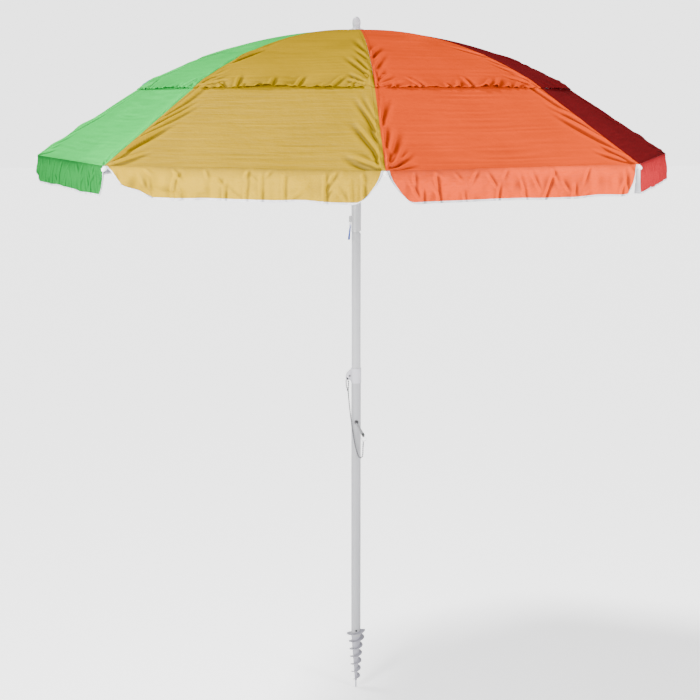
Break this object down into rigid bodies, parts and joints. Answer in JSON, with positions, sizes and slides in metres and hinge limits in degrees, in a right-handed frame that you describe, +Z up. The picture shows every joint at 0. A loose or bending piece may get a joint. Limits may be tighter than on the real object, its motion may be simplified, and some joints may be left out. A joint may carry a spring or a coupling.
{
  "type": "beach umbrella",
  "caption": "Beach umbrella with an octagonal rainbow canopy, vented cap, scalloped valance, tilting telescopic white pole and a sand auger.",
  "frame": {"origin": "on the pole's axis at the tip of the sand auger", "axes": "+Z up along the pole; -Y towards the front rib, +X to the right seen from the front; the collar's lug and the tilt lever are on the -X side"},
  "size_m": [1.6874, 1.6874, 1.8812],
  "materials": {
    "white_tube": "satin white powder coat",
    "upper_tube": "gloss white",
    "white_plastic": "moulded, slightly glossy",
    "steel": "zinc plated",
    "navy_grip": "dipped vinyl",
    "black_cap": "matt",
    "rib_steel": "white coated steel",
    "fabric_orange": "coated polyester",
    "fabric_dark_red": "coated polyester",
    "fabric_purple": "coated polyester",
    "fabric_indigo": "coated polyester",
    "fabric_blue": "coated polyester",
    "fabric_turquoise": "coated polyester",
    "fabric_green": "coated polyester",
    "fabric_yellow": "coated polyester"
  },
  "bodies": {
    "lower_pole": {"lower_tube": "white_tube", "collar": "white_plastic", "collar_rivet": "steel", "pin_grommet": "steel", "auger_core": "white_plastic", "auger_blade": "white_plastic", "auger_screw": "steel", "ball_chain": "steel", "chain_loop": "steel"},
    "mid_pole": {"mid_tube": "white_tube", "mid_tube_foot": "white_plastic", "tilt_tongue": "white_plastic"},
    "upper_pole": {"upper_tube": "upper_tube", "tilt_clevis": "white_plastic", "tilt_pin": "steel", "crown_hub": "white_plastic", "crown_ring": "steel", "finial": "white_plastic", "catch_spring": "steel", "lever_bracket": "steel"},
    "tilt_lever": {"tilt_lever": "steel", "lever_grip": "navy_grip"},
    "runner": {"runner": "white_plastic", "runner_ring": "steel"},
    "locking_pin": {"locking_pin": "steel", "pin_cap": "black_cap", "pin_ring": "steel"},
    "rib_1": {"rib_1": "rib_steel", "panel_1_left": "fabric_orange", "panel_1_right": "fabric_yellow"},
    "stretcher_1": {"stretcher_1": "rib_steel"},
    "rib_2": {"rib_2": "rib_steel", "panel_2_left": "fabric_dark_red", "panel_2_right": "fabric_orange"},
    "stretcher_2": {"stretcher_2": "rib_steel"},
    "rib_3": {"rib_3": "rib_steel", "panel_3_left": "fabric_purple", "panel_3_right": "fabric_dark_red"},
    "stretcher_3": {"stretcher_3": "rib_steel"},
    "rib_4": {"rib_4": "rib_steel", "panel_4_left": "fabric_indigo", "panel_4_right": "fabric_purple"},
    "stretcher_4": {"stretcher_4": "rib_steel"},
    "rib_5": {"rib_5": "rib_steel", "panel_5_left": "fabric_blue", "panel_5_right": "fabric_indigo"},
    "stretcher_5": {"stretcher_5": "rib_steel"},
    "rib_6": {"rib_6": "rib_steel", "panel_6_left": "fabric_turquoise", "panel_6_right": "fabric_blue"},
    "stretcher_6": {"stretcher_6": "rib_steel"},
    "rib_7": {"rib_7": "rib_steel", "panel_7_left": "fabric_green", "panel_7_right": "fabric_turquoise"},
    "stretcher_7": {"stretcher_7": "rib_steel"},
    "rib_8": {"rib_8": "rib_steel", "panel_8_left": "fabric_yellow", "panel_8_right": "fabric_green"},
    "stretcher_8": {"stretcher_8": "rib_steel"}
  },
  "joints": [
    {"name": "height_slide", "type": "slide", "parent": "lower_pole", "child": "mid_pole", "axis": [0, 0, 1], "range_m": [0, 0.3]},
    {"name": "tilt", "type": "hinge", "parent": "mid_pole", "child": "upper_pole", "pos_m": [0.003, 0, 1.3175], "axis": [0, 1, 0], "range_deg": [0, 40]},
    {"name": "runner_slide", "type": "slide", "parent": "upper_pole", "child": "runner", "axis": [0, 0, -1], "range_m": [0, 0.3095], "deforming": ["catch_spring"]},
    {"name": "lever_press", "type": "hinge", "parent": "upper_pole", "child": "tilt_lever", "pos_m": [-0.0164, 0, 1.352], "axis": [0, -1, 0], "range_deg": [0, 4], "stiffness_Nm_per_rad": 0.4, "springref_deg": -2.86},
    {"name": "pin_pull", "type": "slide", "parent": "lower_pole", "child": "locking_pin", "axis": [0, -1, 0], "range_m": [0, 0.045], "deforming": ["ball_chain"]},
    {"name": "rib_1_hinge", "type": "hinge", "parent": "upper_pole", "child": "rib_1", "pos_m": [0, -0.02, 1.83963], "axis": [1, 0, 0], "range_deg": [0, 68.5], "deforming": ["rib_1", "panel_1_left", "panel_1_right"]},
    {"name": "stretcher_1_hinge", "type": "hinge", "parent": "runner", "child": "stretcher_1", "pos_m": [0, -0.024, 1.68257], "axis": [-1, 0, 0], "range_deg": [0, 49.5]},
    {"name": "rib_2_hinge", "type": "hinge", "parent": "upper_pole", "child": "rib_2", "pos_m": [0.01414, -0.01414, 1.83963], "axis": [0.7071, 0.7071, 0], "range_deg": [0, 68.5], "deforming": ["rib_2", "panel_2_left", "panel_2_right"]},
    {"name": "stretcher_2_hinge", "type": "hinge", "parent": "runner", "child": "stretcher_2", "pos_m": [0.01697, -0.01697, 1.68257], "axis": [-0.7071, -0.7071, 0], "range_deg": [0, 49.5]},
    {"name": "rib_3_hinge", "type": "hinge", "parent": "upper_pole", "child": "rib_3", "pos_m": [0.02, 0, 1.83963], "axis": [0, 1, 0], "range_deg": [0, 68.5], "deforming": ["rib_3", "panel_3_left", "panel_3_right"]},
    {"name": "stretcher_3_hinge", "type": "hinge", "parent": "runner", "child": "stretcher_3", "pos_m": [0.024, 0, 1.68257], "axis": [0, -1, 0], "range_deg": [0, 49.5]},
    {"name": "rib_4_hinge", "type": "hinge", "parent": "upper_pole", "child": "rib_4", "pos_m": [0.01414, 0.01414, 1.83963], "axis": [-0.7071, 0.7071, 0], "range_deg": [0, 68.5], "deforming": ["rib_4", "panel_4_left", "panel_4_right"]},
    {"name": "stretcher_4_hinge", "type": "hinge", "parent": "runner", "child": "stretcher_4", "pos_m": [0.01697, 0.01697, 1.68257], "axis": [0.7071, -0.7071, 0], "range_deg": [0, 49.5]},
    {"name": "rib_5_hinge", "type": "hinge", "parent": "upper_pole", "child": "rib_5", "pos_m": [0, 0.02, 1.83963], "axis": [-1, 0, 0], "range_deg": [0, 68.5], "deforming": ["rib_5", "panel_5_left", "panel_5_right"]},
    {"name": "stretcher_5_hinge", "type": "hinge", "parent": "runner", "child": "stretcher_5", "pos_m": [0, 0.024, 1.68257], "axis": [1, 0, 0], "range_deg": [0, 49.5]},
    {"name": "rib_6_hinge", "type": "hinge", "parent": "upper_pole", "child": "rib_6", "pos_m": [-0.01414, 0.01414, 1.83963], "axis": [-0.7071, -0.7071, 0], "range_deg": [0, 68.5], "deforming": ["rib_6", "panel_6_left", "panel_6_right"]},
    {"name": "stretcher_6_hinge", "type": "hinge", "parent": "runner", "child": "stretcher_6", "pos_m": [-0.01697, 0.01697, 1.68257], "axis": [0.7071, 0.7071, 0], "range_deg": [0, 49.5]},
    {"name": "rib_7_hinge", "type": "hinge", "parent": "upper_pole", "child": "rib_7", "pos_m": [-0.02, 0, 1.83963], "axis": [0, -1, 0], "range_deg": [0, 68.5], "deforming": ["rib_7", "panel_7_left", "panel_7_right"]},
    {"name": "stretcher_7_hinge", "type": "hinge", "parent": "runner", "child": "stretcher_7", "pos_m": [-0.024, 0, 1.68257], "axis": [0, 1, 0], "range_deg": [0, 49.5]},
    {"name": "rib_8_hinge", "type": "hinge", "parent": "upper_pole", "child": "rib_8", "pos_m": [-0.01414, -0.01414, 1.83963], "axis": [0.7071, -0.7071, 0], "range_deg": [0, 68.5], "deforming": ["rib_8", "panel_8_left", "panel_8_right"]},
    {"name": "stretcher_8_hinge", "type": "hinge", "parent": "runner", "child": "stretcher_8", "pos_m": [-0.01697, -0.01697, 1.68257], "axis": [-0.7071, 0.7071, 0], "range_deg": [0, 49.5]}
  ],
  "couplings": [
    {"joint": "rib_1_hinge", "follows": "runner_slide", "rad_per_m": 3.8596},
    {"joint": "stretcher_1_hinge", "follows": "runner_slide", "rad_per_m": 2.7868},
    {"joint": "rib_2_hinge", "follows": "runner_slide", "rad_per_m": 3.8596},
    {"joint": "stretcher_2_hinge", "follows": "runner_slide", "rad_per_m": 2.7868},
    {"joint": "rib_3_hinge", "follows": "runner_slide", "rad_per_m": 3.8596},
    {"joint": "stretcher_3_hinge", "follows": "runner_slide", "rad_per_m": 2.7868},
    {"joint": "rib_4_hinge", "follows": "runner_slide", "rad_per_m": 3.8596},
    {"joint": "stretcher_4_hinge", "follows": "runner_slide", "rad_per_m": 2.7868},
    {"joint": "rib_5_hinge", "follows": "runner_slide", "rad_per_m": 3.8596},
    {"joint": "stretcher_5_hinge", "follows": "runner_slide", "rad_per_m": 2.7868},
    {"joint": "rib_6_hinge", "follows": "runner_slide", "rad_per_m": 3.8596},
    {"joint": "stretcher_6_hinge", "follows": "runner_slide", "rad_per_m": 2.7868},
    {"joint": "rib_7_hinge", "follows": "runner_slide", "rad_per_m": 3.8596},
    {"joint": "stretcher_7_hinge", "follows": "runner_slide", "rad_per_m": 2.7868},
    {"joint": "rib_8_hinge", "follows": "runner_slide", "rad_per_m": 3.8596},
    {"joint": "stretcher_8_hinge", "follows": "runner_slide", "rad_per_m": 2.7868}
  ]
}
